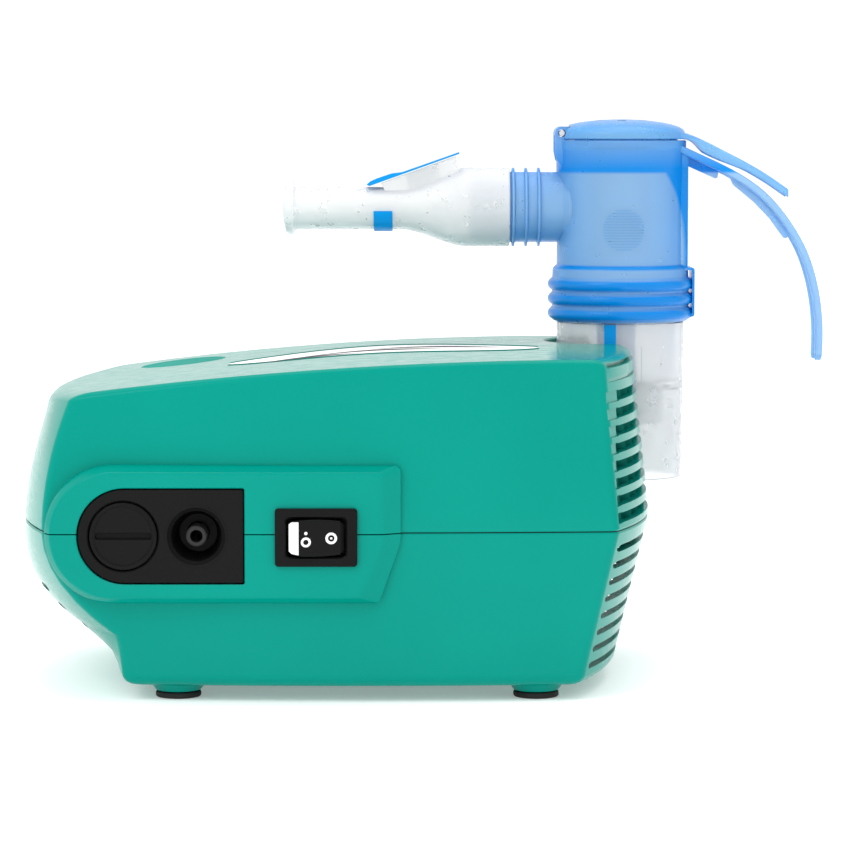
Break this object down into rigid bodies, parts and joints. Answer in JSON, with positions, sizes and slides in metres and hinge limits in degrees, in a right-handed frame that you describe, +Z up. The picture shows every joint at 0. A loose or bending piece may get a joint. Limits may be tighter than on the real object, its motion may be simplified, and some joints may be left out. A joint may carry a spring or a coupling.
{
  "type": "tabletop nebulizer",
  "caption": "Tabletop compressor with vented end, filter cap, hose socket and rocker switch, holding a jet nebulizer with mouthpiece, hinged lid and finger handle.",
  "frame": {"origin": "centre of the bounding box's footprint, on the surface the rubber feet stand on", "axes": "+X from the compressor's nose to its vented end and the nebulizer, -Y towards the control side, +Z up"},
  "size_m": [0.2218, 0.1323, 0.1519],
  "materials": {
    "teal_plastic": "fine moulded texture, satin gloss",
    "dark_teal_plastic": "smooth",
    "black_plastic": "fine spark-eroded texture",
    "switch_black": "satin, printed symbols",
    "black_rubber": "matt",
    "blue_plastic": "translucent, glossy",
    "blue_silicone": "satin silicone",
    "clear_plastic": "translucent, slightly milky",
    "milky_plastic": "translucent, milky",
    "filter_foam": "open foam",
    "steel": "zinc plated",
    "laminations": "stacked sheet steel",
    "copper_winding": "enamelled wire",
    "cast_alloy": "die cast",
    "silicone": "translucent silicone",
    "label": "blank foil label"
  },
  "bodies": {
    "housing": {"upper_housing": "teal_plastic", "lower_housing": "teal_plastic", "top_badge": "dark_teal_plastic", "rating_plate": "label", "port_block": "black_plastic", "air_outlet_nozzle": "black_plastic", "switch_body": "switch_black", "mains_inlet": "black_plastic", "foot_pad_1": "black_rubber", "foot_pad_2": "black_rubber", "foot_pad_3": "black_rubber", "foot_pad_4": "black_rubber", "housing_screw_1": "steel", "housing_screw_2": "steel", "housing_screw_3": "steel", "housing_screw_4": "steel", "motor_stator": "laminations", "winding_front": "copper_winding", "winding_rear": "copper_winding", "motor_bracket_front": "cast_alloy", "motor_bracket_rear": "cast_alloy", "motor_bearing_front": "steel", "motor_bearing_rear": "steel", "cylinder_block": "cast_alloy", "cylinder_head": "cast_alloy", "intake_tube": "silicone", "outlet_tube": "silicone", "base_plate": "cast_alloy", "rubber_mount_1": "black_rubber", "rubber_mount_2": "black_rubber", "rubber_mount_3": "black_rubber", "rubber_mount_4": "black_rubber"},
    "switch_rocker": {"switch_rocker": "switch_black"},
    "filter_insert": {"filter_element": "filter_foam"},
    "filter_cap": {"filter_cap": "black_plastic"},
    "motor_rotor": {"rotor_core": "laminations", "motor_shaft": "steel", "cooling_fan": "black_plastic", "crank_eccentric": "cast_alloy"},
    "piston": {"connecting_rod": "black_plastic", "piston_seal": "black_rubber"},
    "nebulizer_cup": {"nebulizer_cup": "clear_plastic", "jet_insert": "blue_plastic"},
    "nebulizer_upper": {"nebulizer_upper": "blue_plastic", "cap_hinge_pin": "steel"},
    "inlet_cap": {"inlet_cap": "blue_plastic", "inlet_valve_disc": "blue_silicone"},
    "mouthpiece": {"mouthpiece": "milky_plastic", "flap_anchor": "blue_silicone"},
    "exhale_flap": {"exhale_flap": "blue_silicone"}
  },
  "joints": [
    {"name": "switch_rock", "type": "hinge", "parent": "housing", "child": "switch_rocker", "pos_m": [-0.0303, -0.0628, 0.044], "axis": [0, 0, -1], "range_deg": [0, 24]},
    {"name": "filter_pull", "type": "slide", "parent": "housing", "child": "filter_insert", "axis": [0, -1, 0], "range_m": [0, 0.018]},
    {"name": "filter_cap_turn", "type": "hinge", "parent": "filter_insert", "child": "filter_cap", "pos_m": [-0.0802, -0.0622, 0.0442], "axis": [0, -1, 0], "range_deg": [0, 90]},
    {"name": "motor_spin", "type": "hinge", "parent": "housing", "child": "motor_rotor", "pos_m": [-0.016, 0.014, 0.038], "axis": [1, 0, 0], "continuous": true},
    {"name": "piston_stroke", "type": "slide", "parent": "housing", "child": "piston", "axis": [0, -1, 0], "range_m": [-0.003, 0.003]},
    {"name": "nebulizer_lift", "type": "slide", "parent": "housing", "child": "nebulizer_cup", "axis": [0, 0, 1], "range_m": [0, 0.06]},
    {"name": "chamber_twist", "type": "hinge", "parent": "nebulizer_cup", "child": "nebulizer_upper", "pos_m": [0.0533, 0.037, 0.0951], "axis": [0, 0, 1], "range_deg": [0, 60]},
    {"name": "lid_hinge", "type": "hinge", "parent": "nebulizer_upper", "child": "inlet_cap", "pos_m": [0.03637, 0.037, 0.148], "axis": [0, -1, 0], "range_deg": [0, 100]},
    {"name": "mouthpiece_pull", "type": "slide", "parent": "nebulizer_upper", "child": "mouthpiece", "axis": [-1, 0, 0], "range_m": [0, 0.02]},
    {"name": "flap_lift", "type": "hinge", "parent": "mouthpiece", "child": "exhale_flap", "pos_m": [-0.01785, 0.037, 0.13373], "axis": [0, -1, 0], "range_deg": [0, 20]}
  ]
}
